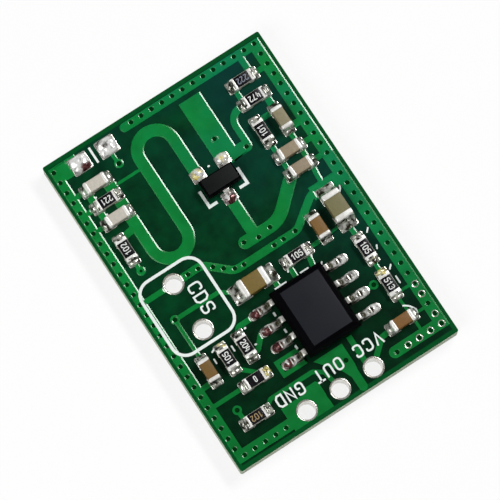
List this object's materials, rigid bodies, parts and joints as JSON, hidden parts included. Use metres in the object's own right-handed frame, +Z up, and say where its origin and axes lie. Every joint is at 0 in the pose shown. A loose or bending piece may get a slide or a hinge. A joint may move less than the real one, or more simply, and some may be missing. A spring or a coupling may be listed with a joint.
{
  "type": "doppler radar sensor module",
  "caption": "Small green circuit board with a printed meander antenna, a surface-mount transistor and chip, chip resistors and capacitors, and plated holes for a header and a light cell.",
  "frame": {"origin": "centre of the board's underside, where it lies on a surface", "axes": "+X along the short side, +Y along the long side from the header holes towards the antenna end, +Z up out of the component side"},
  "size_m": [0.0166, 0.0234, 0.0031],
  "materials": {
    "laminate": "glass fibre board under glossy green solder mask",
    "masked_copper": "copper under glossy green solder mask",
    "tinned_copper": "tinned copper",
    "solder": "bright solder",
    "white_ink": "screen printed ink",
    "moulded_epoxy": "moulded black epoxy",
    "tinned_lead": "tin plated",
    "capacitor_ceramic": "fired ceramic, matt",
    "resistor_ceramic": "black glaze on white ceramic"
  },
  "bodies": {
    "root": {"capacitor_1": "capacitor_ceramic", "capacitor_10": "capacitor_ceramic", "capacitor_2": "capacitor_ceramic", "capacitor_3": "capacitor_ceramic", "capacitor_4": "capacitor_ceramic", "capacitor_5": "capacitor_ceramic", "capacitor_6": "capacitor_ceramic", "capacitor_7": "capacitor_ceramic", "capacitor_8": "capacitor_ceramic", "capacitor_9": "capacitor_ceramic", "capacitor_solder": "solder", "circuit_board": "laminate", "component_pads": "tinned_copper", "control_chip_body": "moulded_epoxy", "control_chip_lead_1": "tinned_lead", "control_chip_lead_2": "tinned_lead", "control_chip_lead_3": "tinned_lead", "control_chip_lead_4": "tinned_lead", "control_chip_lead_5": "tinned_lead", "control_chip_lead_6": "tinned_lead", "control_chip_lead_7": "tinned_lead", "control_chip_lead_8": "tinned_lead", "control_chip_solder": "solder", "ground_copper": "masked_copper", "ground_hole_plating": "tinned_copper", "jumper_solder_left": "solder", "jumper_solder_right": "solder", "light_cell_hole_plating_1": "tinned_copper", "light_cell_hole_plating_2": "tinned_copper", "meander_antenna": "masked_copper", "output_hole_plating": "tinned_copper", "resistor_1": "resistor_ceramic", "resistor_10": "resistor_ceramic", "resistor_11": "resistor_ceramic", "resistor_12": "resistor_ceramic", "resistor_2": "resistor_ceramic", "resistor_3": "resistor_ceramic", "resistor_4": "resistor_ceramic", "resistor_5": "resistor_ceramic", "resistor_6": "resistor_ceramic", "resistor_7": "resistor_ceramic", "resistor_8": "resistor_ceramic", "resistor_9": "resistor_ceramic", "resistor_solder": "solder", "resonator_stub": "masked_copper", "signal_tracks": "masked_copper", "source_line": "masked_copper", "supply_hole_plating": "tinned_copper", "transistor_body": "moulded_epoxy", "transistor_lead_1": "tinned_lead", "transistor_lead_2": "tinned_lead", "transistor_lead_3": "tinned_lead", "transistor_solder": "solder", "underside_copper": "masked_copper", "white_ink": "white_ink"}
  },
  "joints": []
}
